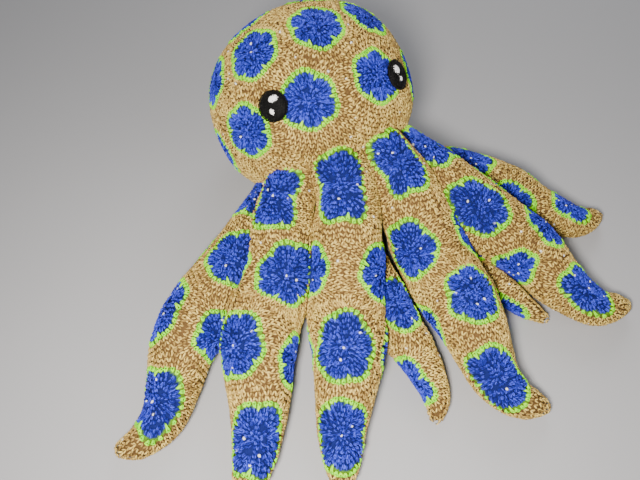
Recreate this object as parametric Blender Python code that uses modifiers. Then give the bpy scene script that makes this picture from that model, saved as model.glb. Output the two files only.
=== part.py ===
"""African flower octopus: a stuffed crocheted toy lying on its eight arms.

Metres, +Z up, the surface it rests on at z = 0. The toy is a round head that
leans back, a short neck that joins the arms, and eight tapering arms that fan
out forwards and to the sides. It is a still model: no piece moves.
"""
import math

import bmesh
import bpy
import numpy as np
from mathutils import Matrix, Vector

# Middle of the toy's plan, moved to the origin
PLAN_MIDDLE = (0.0937, -0.0413)

# Head: a turned shape about an axis that leans back and to the left
HEAD_R = 0.1493
HEAD_CENTRE = np.array((-0.0185, 0.1644, 0.1470))
HEAD_AXIS = np.array((-0.3786, 0.7281, 0.5714))
HEAD_FRONT = np.array((-0.0487, -0.6322, 0.7733))
HEAD_WIDE = 0.99          # widest radius, in head radii
HEAD_WIDE_AT = -0.10      # where along the axis
HEAD_TOP = 0.80
HEAD_FOOT = -0.93
TOP_POWER, FOOT_POWER = 2.2, 2.4
NECK_AT = -0.62           # the plane that parts head and neck

# Arms: roots on a ring under the head, girth along the arm, rest on the floor
ROOT_AT = -0.70
ROOT_RING = 0.078
ARM_SHARE = (0, 0.12, 0.24, 0.36, 0.48, 0.58, 0.68, 0.78, 0.87, 0.94, 0.985, 1)
ARM_RADIUS = (0.036, 0.038, 0.044, 0.049, 0.051, 0.050, 0.043, 0.035, 0.028,
              0.0205, 0.0125, 0.006)
REST_SHARE = 0.93         # height of the centre line over the floor, in radii
STATIONS = 21
AROUND = 14
CUTS = (0.185, 0.300)     # where an arm is parted into upper, middle and tip
ROOT_CUT = 0.010          # where it starts inside the neck
GAP = 0.0003
TOUCH = 0.0036            # between two arms that press on each other
FUSE = -0.004             # the same inside the neck, where they are crocheted in one
ROOT_LIFT = 0.0009        # how far over the floor the arms start inside the neck

# number: (longitude of the root on the neck, run at which it leaves the neck, run over
#          which it comes down, rise over what it lies on, girth, how much it keeps its
#          shape against its neighbours, places that it passes on the floor's plane)
ARMS = {
    1: (270, 0.072, 0.230, 0.0, 0.93, 0.000,
        ((-.079, -.001), (-.115, -.076), (-.152, -.138), (-.175, -.192), (-.182, -.243),
         (-.191, -.283), (-.215, -.309), (-.242, -.317))),
    2: (315, 0.066, 0.225, 0.0, 0.97, 0.002,
        ((-.049, -.028), (-.055, -.096), (-.074, -.163), (-.077, -.217), (-.074, -.263),
         (-.075, -.307), (-.079, -.341), (-.090, -.378))),
    3: (0, 0.066, 0.235, 0.0, 1.00, 0.006,
        ((.035, -.019), (.037, -.067), (.037, -.112), (.035, -.163), (.036, -.204),
         (.031, -.254), (.026, -.296), (.026, -.331), (.026, -.361))),
    4: (225, 0.092, 0.140, 0.0, 0.80, -0.006,
        ((.005, .022), (.042, -.040), (.071, -.099), (.095, -.151), (.121, -.191),
         (.137, -.223), (.147, -.256), (.144, -.280))),
    5: (45, 0.066, 0.240, 0.0, 1.00, 0.005,
        ((.113, .007), (.134, -.033), (.159, -.074), (.183, -.123), (.200, -.166),
         (.211, -.204), (.223, -.235), (.246, -.257), (.282, -.264))),
    6: (180, 0.096, 0.120, 0.0, 0.76, -0.008,
        ((.075, .074), (.147, .030), (.190, -.012), (.225, -.052), (.253, -.089),
         (.278, -.117), (.311, -.139))),
    7: (90, 0.066, 0.300, 0.006, 0.94, 0.004,
        ((.151, .056), (.199, .011), (.251, -.025), (.297, -.052), (.327, -.089),
         (.350, -.113), (.378, -.129), (.426, -.119))),
    8: (135, 0.076, 0.200, 0.0, 0.84, -0.002,
        ((.122, .120), (.178, .100), (.220, .089), (.253, .077), (.286, .060), (.318, .040),
         (.352, .027), (.387, .018), (.429, .038))),
}
RISE_RUN = 0.30

# African flowers: six petals each, raised a little from the crochet around them
PETALS = 6
NOTCH = 0.85              # radius between two petals, in petal lengths
RAISED = 0.0026
ROOTED = 0.0040
# half length and half width of the flowers at the root, in the two rows and at the tip
ARM_FLOWER_SIZES = ((0.046, 0.039), (0.044, 0.041), (0.0415, 0.0425), (0.041, 0.038))
# arm number: (share of the arm, turn, size) of its flowers: one at the root, a row of
# three, a second row of three, and one at the tip
ARM_FLOWERS = {
    1: (((0.130, 30, 1.0),), ((0.365, -12, 1.0), (0.365, 108, 1.0), (0.365, -132, 1.0)),
        ((0.579, 58, 1.0), (0.595, -78, 1.0), (0.610, 170, 1.0)), ((0.818, 24, 1.12),)),
    2: (((0.130, 20, 0.95),), ((0.352, -29, 1.1), (0.365, 95, 1.0), (0.365, -145, 1.0)),
        ((0.594, 36, 0.97), (0.622, -88, 0.95), (0.610, 155, 1.0)), ((0.837, -4, 1.08),)),
    3: (((0.130, 18, 1.02),), ((0.376, 78, 0.97), (0.385, -63, 1.03), (0.365, -174, 1.0)),
        ((0.640, 9, 1.02), (0.610, 124, 1.0), (0.610, -116, 1.0)), ((0.863, 0, 1.04),)),
    4: (((0.130, 0, 1.0),), ((0.365, 52, 1.0), (0.365, -68, 1.0), (0.365, 172, 1.0)),
        ((0.649, -17, 0.96), (0.610, 112, 1.0), (0.610, -128, 1.0)), ((0.864, 98, 1.0),)),
    5: (((0.130, 8, 1.0),), ((0.372, 56, 1.0), (0.365, -65, 1.0), (0.365, 175, 1.0)),
        ((0.602, -3, 0.92), (0.610, 126, 1.0), (0.610, -120, 1.0)), ((0.829, 19, 1.0),)),
    6: (((0.130, 0, 1.0),), ((0.365, 84, 1.0), (0.365, -36, 1.0), (0.365, -156, 1.0)),
        ((0.610, 24, 1.0), (0.610, 144, 1.0), (0.610, -96, 1.0)), ((0.852, 122, 0.96),)),
    7: (((0.150, -18, 0.94),), ((0.382, 32, 1.0), (0.365, 152, 1.0), (0.365, -88, 1.0)),
        ((0.590, 76, 0.94), (0.583, -33, 0.90), (0.600, -159, 1.0)), ((0.812, 2, 1.0),)),
    8: (((0.130, 0, 1.0),), ((0.397, -6, 0.97), (0.365, 110, 1.0), (0.365, -130, 1.0)),
        ((0.634, 46, 0.90), (0.610, 166, 1.0), (0.610, -80, 1.0)), ((0.812, -10, 0.92),)),
}
HEAD_FLOWER = 0.0385
# latitude on the head, longitudes of the flowers
HEAD_FLOWERS = ((-8.5, (-80, -40, -1, 39.5, 82, 131, 180, 230)),
                (27.0, (-61, -21, 19, 57.5, 102, 150, 200, 250)),
                (62.0, (-40, 50, 140, 230)))

# Eyes: domed ovals set into the head, each with two glints
EYES = {"left": (-4.1, -18.0), "right": (-10.3, 52.2)}     # latitude, longitude
EYE_SIZE = (0.0195, 0.0188, 0.0072)
EYE_PROUD = 0.0015
# (up the eye, across it, half height, half width)
GLINTS = {
    "left": {"large": (0.0075, -0.0055, 0.0050, 0.0070), "small": (-0.0065, 0.0020, 0.0046, 0.0032)},
    "right": {"large": (0.0060, 0.0062, 0.0068, 0.0054), "small": (-0.0062, 0.0030, 0.0040, 0.0032)},
}

TAN = (0.48, 0.33, 0.17)
BLACK = (0.006, 0.006, 0.007)
WHITE = (0.86, 0.86, 0.84)

HEAD_SIDE = np.cross(HEAD_AXIS, HEAD_FRONT)
HEAD_MIDDLE = HEAD_CENTRE + HEAD_WIDE_AT * HEAD_R * HEAD_AXIS
SHIFT = np.array((PLAN_MIDDLE[0], PLAN_MIDDLE[1], 0.0))


def head_level(points):
    """1 on the head's surface, less inside it, more outside."""
    rel = (points - HEAD_MIDDLE) / HEAD_R
    along = rel @ HEAD_AXIS
    across = np.linalg.norm(rel - along[..., None] * HEAD_AXIS, axis=-1)
    half = np.where(along > 0, HEAD_TOP - HEAD_WIDE_AT, HEAD_WIDE_AT - HEAD_FOOT)
    power = np.where(along > 0, TOP_POWER, FOOT_POWER)
    return ((np.abs(along) / half) ** power + (across / HEAD_WIDE) ** power) ** (1 / power)


def head_distance(points):
    level = np.maximum(head_level(points), 1e-6)
    return np.linalg.norm(points - HEAD_MIDDLE, axis=-1) * (1 - 1 / level)


def head_direction(latitude, longitude):
    a, b = math.radians(latitude), math.radians(longitude)
    around = math.cos(b) * HEAD_FRONT + math.sin(b) * HEAD_SIDE
    return math.cos(a) * around + math.sin(a) * HEAD_AXIS


def head_point(direction, lift=0.0):
    direction = direction / np.linalg.norm(direction)
    reach = 1 / head_level(HEAD_MIDDLE + direction[None])[0]
    return HEAD_MIDDLE + direction * (reach + lift)


def smooth_step(t):
    t = np.clip(t, 0, 1)
    return t * t * (3 - 2 * t)


def through(points, count):
    """A smooth curve through the points, evenly spaced."""
    p = np.vstack([2 * points[0] - points[1], points, 2 * points[-1] - points[-2]])
    out = []
    for a, b, c, d in zip(p, p[1:], p[2:], p[3:]):
        t0, t1 = 0.0, math.sqrt(np.linalg.norm(b - a))
        t2 = t1 + math.sqrt(np.linalg.norm(c - b))
        t3 = t2 + math.sqrt(np.linalg.norm(d - c))
        for t in np.linspace(t1, t2, 24, endpoint=False):
            ab = (t1 - t) / (t1 - t0) * a + (t - t0) / (t1 - t0) * b
            bc = (t2 - t) / (t2 - t1) * b + (t - t1) / (t2 - t1) * c
            cd = (t3 - t) / (t3 - t2) * c + (t - t2) / (t3 - t2) * d
            abc = (t2 - t) / (t2 - t0) * ab + (t - t0) / (t2 - t0) * bc
            bcd = (t3 - t) / (t3 - t1) * bc + (t - t1) / (t3 - t1) * cd
            out.append((t2 - t) / (t2 - t1) * abc + (t - t1) / (t2 - t1) * bcd)
    out = np.array(out + [points[-1]])
    run = np.concatenate([[0], np.cumsum(np.linalg.norm(np.diff(out, axis=0), axis=1))])
    even = np.linspace(0, run[-1], count)
    return np.array([np.interp(even, run, out[:, i]) for i in range(out.shape[1])]).T


class Arm:
    """Centre line, girth and section directions of one arm."""

    def __init__(self, number):
        longitude, self.leaves, drop, rise, self.girth, self.firm, places = ARMS[number]
        self.number = number
        b = math.radians(longitude)
        root = (HEAD_CENTRE + ROOT_AT * HEAD_R * HEAD_AXIS
                + ROOT_RING * (math.cos(b) * HEAD_FRONT + math.sin(b) * HEAD_SIDE))
        first_rest = ARM_RADIUS[0] * self.girth * REST_SHARE
        high = max(root[2], first_rest) - first_rest
        line = through(np.array([(root[0], root[1])] + list(places)), 111)
        for _ in range(8):
            run = np.concatenate([[0], np.cumsum(np.linalg.norm(np.diff(line, axis=0), axis=1))])
            self.radius = self.girth * np.interp(run / run[-1], ARM_SHARE, ARM_RADIUS)
            fall = 1 - smooth_step(run / drop)
            over = rise * np.sin(math.pi * np.clip(run / RISE_RUN, 0, 1)) ** 2
            height = self.radius * REST_SHARE + high * fall + over
            line = np.column_stack([line[:, :2], height])
        self.line, self.run, self.length = line, run, run[-1]
        self.radius = self.girth * np.interp(run / run[-1], ARM_SHARE, ARM_RADIUS)

    def at(self, s):
        return np.array([np.interp(s, self.run, self.line[:, i]) for i in range(3)]).T

    def girth_at(self, s):
        return np.interp(s, self.run, self.radius)

    def along(self, s):
        step = self.at(np.asarray(s) + 0.004) - self.at(np.asarray(s) - 0.004)
        return step / np.linalg.norm(step, axis=-1, keepdims=True)

    def distance(self, points):
        """Distance to the unpressed arm, and the run of its nearest station."""
        far = np.linalg.norm(points[:, None] - self.line[None], axis=2) - self.radius[None]
        near = far.argmin(axis=1)
        return far[np.arange(len(points)), near], self.run[near]

    def section(self, s, turn):
        """Directions out of the centre line: turn 0 is up, and grows to the right."""
        along = self.along(s)
        side = np.cross(along, np.array((0, 0, 1.0)))
        side /= np.linalg.norm(side, axis=-1, keepdims=True)
        top = np.cross(side, along)
        return np.cos(turn)[..., None] * top + np.sin(turn)[..., None] * side

    def surface(self, s, turn, lift=0.0):
        """Points of the arm as it lies, pressed by its neighbours and the floor."""
        s, turn = np.broadcast_arrays(np.asarray(s, float), np.asarray(turn, float))
        centre = self.at(s)
        out = self.section(s, turn) * (self.girth_at(s) + lift)[..., None]
        share = self.room(centre, out, s)
        points = centre + out * share[..., None]
        floor = ROOT_LIFT * (1 - smooth_step(s / self.leaves))
        points[..., 2] = np.maximum(points[..., 2], floor)
        return points, share

    def spare(self, points, s):
        """Room left at the points before they reach a neighbour or the head."""
        own, _ = self.distance(points)
        spare = np.full(len(points), 1.0)
        for other in ALL_ARMS.values():
            if other is self:
                continue
            far, run = other.distance(points)
            free = smooth_step((np.maximum(s / self.leaves, run / other.leaves) - 0.72) / 0.2)
            keep = FUSE + (TOUCH - FUSE) * free - (self.firm - other.firm)
            spare = np.minimum(spare, far - own - keep)
        free = smooth_step((s / self.leaves - 0.75) / 0.2)
        return np.minimum(spare, head_distance(points) + 0.05 - (0.05 + 0.0008) * free)

    def room(self, centre, out, s):
        low, high = np.full(len(s), 0.12), np.ones(len(s))
        tight = self.spare(centre + out, s) < 0
        for _ in range(14):
            middle = (low + high) / 2
            fits = self.spare(centre + out * middle[:, None], s) >= 0
            low, high = np.where(fits, middle, low), np.where(fits, high, middle)
        return np.where(tight, low, 1.0)


ALL_ARMS = {}
for number in ARMS:
    ALL_ARMS[number] = Arm(number)


def clear_scene():
    for item in list(bpy.data.objects):
        bpy.data.objects.remove(item, do_unlink=True)


def material(name, colour, roughness):
    made = bpy.data.materials.new(name)
    made.use_nodes = True
    shader = made.node_tree.nodes["Principled BSDF"]
    shader.inputs["Base Color"].default_value = (*colour, 1)
    shader.inputs["Roughness"].default_value = roughness
    shader.inputs["Metallic"].default_value = 0.0
    return made


def add_object(name, mesh, collection):
    item = bpy.data.objects.new(name, mesh)
    collection.objects.link(item)
    return item


def mesh_from(name, bm):
    bmesh.ops.recalc_face_normals(bm, faces=bm.faces)
    mesh = bpy.data.meshes.new(name)
    bm.to_mesh(mesh)
    bm.free()
    return mesh


def loft(rings, first, last):
    """A closed skin over rings of points, pointed at both ends."""
    bm = bmesh.new()
    rows = [[bm.verts.new(p) for p in ring] for ring in rings]
    for one, two in zip(rows, rows[1:]):
        for i in range(len(one)):
            j = (i + 1) % len(one)
            bm.faces.new((one[i], one[j], two[j], two[i]))
    for row, tip in ((rows[0], first), (rows[-1], last)):
        apex = bm.verts.new(tip)
        for i in range(len(row)):
            bm.faces.new((row[i], row[(i + 1) % len(row)], apex))
    return bm


def part_between(bm, plane_low, plane_high):
    """What lies between two planes, each (point, direction), closed again."""
    for plane, keep_above in ((plane_low, True), (plane_high, False)):
        if plane is None:
            continue
        point, direction = plane
        bmesh.ops.bisect_plane(bm, geom=bm.verts[:] + bm.edges[:] + bm.faces[:], dist=1e-7,
                               plane_co=point, plane_no=direction,
                               clear_inner=keep_above, clear_outer=not keep_above)
        rim = [e for e in bm.edges if e.is_boundary]
        bmesh.ops.holes_fill(bm, edges=rim, sides=0)
    return bm


def keep_largest(bm):
    """Drop every loose scrap and sealed hollow but the largest closed surface."""
    left, islands = set(bm.verts), []
    while left:
        seed = left.pop()
        island, edge = {seed}, [seed]
        while edge:
            for link in edge.pop().link_edges:
                for vert in link.verts:
                    if vert not in island:
                        island.add(vert)
                        edge.append(vert)
        left -= island
        islands.append(island)

    def extent(island):
        spots = np.array([v.co for v in island])
        return float(np.prod(spots.max(axis=0) - spots.min(axis=0)))

    islands.sort(key=extent)
    bmesh.ops.delete(bm, geom=[v for island in islands[:-1] for v in island], context="VERTS")
    return bm


def apply_boolean(item, operation, cutters, solver="EXACT"):
    """Join or cut by a collection of closed meshes, and remove them."""
    tools = bpy.data.collections.new("tools")
    bpy.context.scene.collection.children.link(tools)
    for cutter in cutters:
        for home in list(cutter.users_collection):
            home.objects.unlink(cutter)
        tools.objects.link(cutter)
    modifier = item.modifiers.new("shape", "BOOLEAN")
    modifier.operation = operation
    modifier.operand_type = "COLLECTION"
    modifier.collection = tools
    modifier.solver = solver
    bpy.context.view_layer.update()
    graph = bpy.context.evaluated_depsgraph_get()
    mesh = bpy.data.meshes.new_from_object(item.evaluated_get(graph))
    item.modifiers.clear()
    bm = bmesh.new()
    bm.from_mesh(mesh)
    bmesh.ops.remove_doubles(bm, verts=bm.verts, dist=2e-6)
    keep_largest(bm)
    item.data = mesh_from(item.name, bm)
    for cutter in list(tools.objects):
        bpy.data.objects.remove(cutter, do_unlink=True)
    bpy.data.collections.remove(tools)


def head_mesh():
    """The whole head, turned about its axis, down to its closed foot."""
    rows = 12
    angles = np.linspace(0, math.pi, rows + 1)
    profile = []
    for a in angles:
        power = TOP_POWER if a < math.pi / 2 else FOOT_POWER
        half = HEAD_TOP - HEAD_WIDE_AT if a < math.pi / 2 else HEAD_WIDE_AT - HEAD_FOOT
        along = math.copysign(abs(math.cos(a)) ** (2 / power), math.cos(a)) * half
        across = abs(math.sin(a)) ** (2 / power) * HEAD_WIDE
        profile.append((across * HEAD_R, along * HEAD_R))
    bm = bmesh.new()
    spots = [bm.verts.new((x, 0, z)) for x, z in profile]
    for one, two in zip(spots, spots[1:]):
        bm.edges.new((one, two))
    mesh = bpy.data.meshes.new("head profile")
    bm.to_mesh(mesh)
    bm.free()
    item = add_object("head profile", mesh, bpy.context.scene.collection)
    turn = item.modifiers.new("turn", "SCREW")
    turn.steps = turn.render_steps = 24
    turn.use_merge_vertices = True
    turn.merge_threshold = 1e-5
    bpy.context.view_layer.update()
    graph = bpy.context.evaluated_depsgraph_get()
    mesh = bpy.data.meshes.new_from_object(item.evaluated_get(graph))
    bpy.data.objects.remove(item, do_unlink=True)
    basis = Matrix([[*row] for row in np.array((HEAD_FRONT, HEAD_SIDE, HEAD_AXIS)).T])
    mesh.transform(Matrix.Translation(Vector(HEAD_MIDDLE - SHIFT)) @ basis.to_4x4())
    bm = bmesh.new()
    bm.from_mesh(mesh)
    bmesh.ops.remove_doubles(bm, verts=bm.verts, dist=2e-6)
    for vert in bm.verts:
        vert.co.z = max(vert.co.z, 0.0)
    bmesh.ops.recalc_face_normals(bm, faces=bm.faces)
    return bm


def arm_skin(arm):
    """One arm from inside the neck to its tip."""
    runs = np.concatenate([np.linspace(0, 0.93, STATIONS - 5), np.array((0.955, 0.975, 0.99))])
    turns = (np.arange(AROUND) + 0.5) * 2 * math.pi / AROUND
    rings = []
    for share in runs:
        s = np.full(AROUND, share * arm.length)
        rings.append(arm.surface(s, turns)[0] - SHIFT)
    tip = arm.line[-1] - SHIFT
    return loft(rings, arm.line[0] - SHIFT - 0.004 * arm.along(0.0), tip)


def flower(place, half_length, half_width):
    """A raised plate of six petals; place gives the surface's point at a lift."""
    count = 3 * PETALS
    angles = np.radians([60 * k + turn for k in range(PETALS) for turn in (-19, 19, 30)])
    reach = np.array([1.0, 1.0, NOTCH] * PETALS)
    along, across = np.cos(angles) * reach * half_length, np.sin(angles) * reach * half_width
    rings = [place(along * 1.03, across * 1.03, -ROOTED), place(along, across, RAISED),
             place((along[0::3] + along[1::3]) * 0.25, (across[0::3] + across[1::3]) * 0.25,
                   RAISED * 1.15)]
    bm = bmesh.new()
    low, high, near = [[bm.verts.new(p) for p in ring] for ring in rings]
    ends = [bm.verts.new(place(np.zeros(1), np.zeros(1), lift)[0])
            for lift in (-2 * ROOTED, RAISED * 0.8)]
    for i in range(count):
        j = (i + 1) % count
        bm.faces.new((low[i], low[j], high[j], high[i]))
        bm.faces.new((low[j], low[i], ends[0]))
        bm.faces.new((high[i], high[j], near[(i + 1) // 3 % PETALS if i % 3 == 2 else i // 3]))
    for k in range(PETALS):
        m = (k + 1) % PETALS
        bm.faces.new((high[3 * k + 2], near[m], near[k]))
        bm.faces.new((near[k], near[m], ends[1]))
    return bm


def flowers_on_arm(arm):
    """The flowers of one arm that are free of its neighbours and the floor."""
    spots = [(share, half_length * size, half_width * size, turn)
             for (half_length, half_width), group in zip(ARM_FLOWER_SIZES,
                                                         ARM_FLOWERS[arm.number])
             for share, turn, size in group]
    made = []
    for share, half_length, half_width, turn in spots:
        middle, wide = share * arm.length, half_width * min(1.0, arm.girth + 0.04)

        def place(along, across, lift):
            s = middle + along
            turns = math.radians(turn) + across / arm.girth_at(s)
            centre, out = arm.at(s), arm.section(s, turns)
            girth = arm.girth_at(s)[:, None]
            held = arm.room(centre, out * girth, s)[:, None]
            pressed = (1 - held) * girth
            points = centre + out * (girth * held + lift - np.minimum(3 * pressed, 0.005))
            points[:, 2] = np.maximum(points[:, 2], 0.0008)
            return points - SHIFT

        ring = np.arange(8) * math.pi / 4
        s = middle + np.cos(ring) * half_length
        turns = math.radians(turn) + np.sin(ring) * wide / arm.girth_at(s)
        points, held = arm.surface(s, turns)
        free = (held > 0.97) & (points[:, 2] > 0.004)
        if free.sum() >= 4:
            made.append(flower(place, half_length, wide))
    return made


def flowers_on_head():
    made = []
    for latitude, longitudes in HEAD_FLOWERS:
        for longitude in longitudes:
            middle = head_direction(latitude, longitude)
            upward = HEAD_AXIS - (HEAD_AXIS @ middle) * middle
            upward /= np.linalg.norm(upward)
            side = np.cross(middle, upward)
            radius = np.linalg.norm(head_point(middle) - HEAD_MIDDLE)

            def place(along, across, lift):
                points = []
                for a, b in zip(along, across):
                    direction = middle + (a * upward + b * side) / radius
                    points.append(head_point(direction, lift) - SHIFT)
                points = np.array(points)
                points[:, 2] = np.maximum(points[:, 2], 0.0008)
                return points

            if head_point(middle)[2] > 0.02:
                made.append(flower(place, HEAD_FLOWER, HEAD_FLOWER))
    return made


def plane_on(arm, s, offset):
    along = arm.along(s)
    return Vector(arm.at(s) - SHIFT + along * offset), Vector(along)


def oval(name, centre, frame, half, collection, grow=0.0, segments=14, rings=8):
    """An ellipsoid with its short axis out of the surface that it sits on."""
    bm = bmesh.new()
    bmesh.ops.create_uvsphere(bm, u_segments=segments, v_segments=rings, radius=1.0)
    size = Matrix.Diagonal(Vector([h + grow for h in half]))
    turn = Matrix([[*row] for row in np.array(frame).T])
    place = Matrix.Translation(Vector(centre - SHIFT)) @ (turn @ size).to_4x4()
    bmesh.ops.transform(bm, matrix=place, verts=bm.verts)
    return add_object(name, mesh_from(name, bm), collection)


def surface_frame(direction):
    """Up, across and out directions on the head where the direction meets it."""
    spot = head_point(direction)
    step = 1e-4
    out = np.array([head_level((spot + step * e)[None])[0] - head_level((spot - step * e)[None])[0]
                    for e in np.eye(3)])
    out /= np.linalg.norm(out)
    upward = HEAD_AXIS - (HEAD_AXIS @ out) * out
    upward /= np.linalg.norm(upward)
    return spot, (upward, np.cross(out, upward), out)


def build():
    clear_scene()
    toy = bpy.data.collections.new("african flower octopus")
    bpy.context.scene.collection.children.link(toy)
    yarn = material("tan yarn", TAN, 0.9)
    black = material("black yarn", BLACK, 0.7)
    white = material("white felt", WHITE, 0.6)

    neck_point = HEAD_CENTRE + NECK_AT * HEAD_R * HEAD_AXIS - SHIFT
    axis = Vector(HEAD_AXIS)
    above = (Vector(neck_point) + axis * GAP / 2, axis)
    below = (Vector(neck_point) - axis * GAP / 2, axis)

    head = add_object("head", mesh_from("head", part_between(head_mesh(), above, None)), toy)
    apply_boolean(head, "UNION", [add_object("flower", mesh_from("flower", bm), toy)
                                  for bm in flowers_on_head()])
    neck = add_object("neck", mesh_from("neck", part_between(head_mesh(), None, below)), toy)

    stubs = []
    for arm in ALL_ARMS.values():
        whole = add_object("arm", mesh_from("arm", arm_skin(arm)), toy)
        apply_boolean(whole, "UNION", [add_object("flower", mesh_from("flower", bm), toy)
                                       for bm in flowers_on_arm(arm)])
        edges = [ROOT_CUT, arm.leaves, *CUTS, None]
        for name, low, high in zip(("root", "upper", "middle", "tip"), edges, edges[1:]):
            bm = bmesh.new()
            bm.from_mesh(whole.data)
            part_between(bm, plane_on(arm, low, GAP / 2),
                         plane_on(arm, high, -GAP / 2) if high else None)
            full = "arm_%d_%s" % (arm.number, name)
            item = add_object(full, mesh_from(full, bm), toy)
            if name == "root":
                stubs.append(item)
        bpy.data.objects.remove(whole, do_unlink=True)
    apply_boolean(neck, "UNION", stubs)

    bm = bmesh.new()
    bmesh.ops.create_cube(bm, size=1.0)
    turn = Matrix([[*row] for row in np.array((HEAD_FRONT, HEAD_SIDE, HEAD_AXIS)).T]).to_4x4()
    place = Matrix.Translation(Vector(neck_point) + axis * (0.25 - GAP / 2)) @ turn
    bmesh.ops.transform(bm, matrix=place @ Matrix.Scale(0.5, 4), verts=bm.verts)
    top = add_object("above the neck", mesh_from("above the neck", bm), toy)
    apply_boolean(neck, "DIFFERENCE", [top])

    for side, (latitude, longitude) in EYES.items():
        spot, frame = surface_frame(head_direction(latitude, longitude))
        centre = spot + frame[2] * EYE_PROUD
        socket = oval("socket", centre, frame, EYE_SIZE, toy, GAP)
        apply_boolean(head, "DIFFERENCE", [socket])
        eye = oval("eye_" + side, centre, frame, EYE_SIZE, toy)
        for name, (up, across, tall, broad) in GLINTS[side].items():
            fall = 1 - (up / EYE_SIZE[0]) ** 2 - (across / EYE_SIZE[1]) ** 2
            rise = EYE_SIZE[2] * math.sqrt(fall)
            out = (frame[0] * up / EYE_SIZE[0] ** 2 + frame[1] * across / EYE_SIZE[1] ** 2
                   + frame[2] * rise / EYE_SIZE[2] ** 2)
            out /= np.linalg.norm(out)
            tilt = frame[0] - (frame[0] @ out) * out
            tilt /= np.linalg.norm(tilt)
            own = (tilt, np.cross(out, tilt), out)
            place = centre + frame[0] * up + frame[1] * across + frame[2] * rise
            half = (tall, broad, 0.0014)
            pocket = oval("pocket", place, own, half, toy, GAP, 8, 4)
            apply_boolean(eye, "DIFFERENCE", [pocket])
            oval("eye_%s_glint_%s" % (side, name), place, own, half, toy, 0.0, 8, 4)

    for item in toy.objects:
        item.data.materials.clear()
        colour = white if "glint" in item.name else black if "eye" in item.name else yarn
        item.data.materials.append(colour.copy())
        item.data.materials[0].name = item.name
        item.data.shade_smooth()
        item.data.set_sharp_from_angle(angle=math.radians(35))


build()
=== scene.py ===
"""Crocheted african flower octopus: a stuffed skin, a coat of single stitches and the eyes.

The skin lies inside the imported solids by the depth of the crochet, and swells a little into the
slots between arms. Every stitch is a mesh of plump strands that stands on it: tan single crochet
in rows round each flower, six blue petals of tall stitches, and a lime edge whose long stitches
reach in between the petals.
"""
import math

import bpy
import numpy as np
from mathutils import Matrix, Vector
from mathutils.kdtree import KDTree


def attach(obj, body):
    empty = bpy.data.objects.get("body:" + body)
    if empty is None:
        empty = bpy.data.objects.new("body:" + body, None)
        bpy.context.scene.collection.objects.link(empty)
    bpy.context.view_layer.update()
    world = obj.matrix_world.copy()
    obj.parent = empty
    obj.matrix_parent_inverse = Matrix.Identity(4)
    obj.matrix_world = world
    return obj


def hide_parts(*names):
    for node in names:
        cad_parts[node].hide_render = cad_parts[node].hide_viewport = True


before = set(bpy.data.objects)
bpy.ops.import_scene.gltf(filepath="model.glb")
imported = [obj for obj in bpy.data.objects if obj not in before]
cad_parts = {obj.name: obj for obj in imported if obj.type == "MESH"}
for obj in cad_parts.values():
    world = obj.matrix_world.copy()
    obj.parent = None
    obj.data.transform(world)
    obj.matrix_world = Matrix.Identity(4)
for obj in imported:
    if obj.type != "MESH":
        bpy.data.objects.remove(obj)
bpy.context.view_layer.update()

# The toy's shape, as in the part, but for a few flowers of arms 2, 5, 7 and 8 and how square
# the arms' flowers are
PLAN_MIDDLE = (0.0937, -0.0413)
HEAD_R = 0.1493
HEAD_CENTRE = np.array((-0.0185, 0.1644, 0.1470))
HEAD_AXIS = np.array((-0.3786, 0.7281, 0.5714))
HEAD_FRONT = np.array((-0.0487, -0.6322, 0.7733))
HEAD_WIDE, HEAD_WIDE_AT, HEAD_TOP, HEAD_FOOT = 0.99, -0.10, 0.80, -0.93
TOP_POWER, FOOT_POWER = 2.2, 2.4
ROOT_AT, ROOT_RING = -0.70, 0.078
ARM_SHARE = (0, 0.12, 0.24, 0.36, 0.48, 0.58, 0.68, 0.78, 0.87, 0.94, 0.985, 1)
ARM_RADIUS = (0.036, 0.038, 0.044, 0.049, 0.051, 0.050, 0.043, 0.035, 0.028, 0.0205, 0.0125, 0.006)
REST_SHARE = 0.93
RISE_RUN = 0.30
FUSE = -0.004
# number: (longitude of the root, run at which it leaves the neck, run over which it comes
#          down, rise, girth, firmness, places that it passes on the floor's plane)
ARMS = {
    1: (270, 0.072, 0.230, 0.0, 0.93, 0.000,
        ((-.079, -.001), (-.115, -.076), (-.152, -.138), (-.175, -.192), (-.182, -.243),
         (-.191, -.283), (-.215, -.309), (-.242, -.317))),
    2: (315, 0.066, 0.225, 0.0, 0.97, 0.002,
        ((-.049, -.028), (-.055, -.096), (-.074, -.163), (-.077, -.217), (-.074, -.263),
         (-.075, -.307), (-.079, -.341), (-.090, -.378))),
    3: (0, 0.066, 0.235, 0.0, 1.00, 0.006,
        ((.035, -.019), (.037, -.067), (.037, -.112), (.035, -.163), (.036, -.204),
         (.031, -.254), (.026, -.296), (.026, -.331), (.026, -.361))),
    4: (225, 0.092, 0.140, 0.0, 0.80, -0.006,
        ((.005, .022), (.042, -.040), (.071, -.099), (.095, -.151), (.121, -.191),
         (.137, -.223), (.147, -.256), (.144, -.280))),
    5: (45, 0.066, 0.240, 0.0, 1.00, 0.005,
        ((.113, .007), (.134, -.033), (.159, -.074), (.183, -.123), (.200, -.166),
         (.211, -.204), (.223, -.235), (.246, -.257), (.282, -.264))),
    6: (180, 0.096, 0.120, 0.0, 0.76, -0.008,
        ((.075, .074), (.147, .030), (.190, -.012), (.225, -.052), (.253, -.089),
         (.278, -.117), (.311, -.139))),
    7: (90, 0.066, 0.300, 0.006, 0.94, 0.004,
        ((.151, .056), (.199, .011), (.251, -.025), (.297, -.052), (.327, -.089),
         (.350, -.113), (.378, -.129), (.426, -.119))),
    8: (135, 0.076, 0.200, 0.0, 0.84, -0.002,
        ((.122, .120), (.178, .100), (.220, .089), (.253, .077), (.286, .060), (.318, .040),
         (.352, .027), (.387, .018), (.429, .038))),
}
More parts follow.
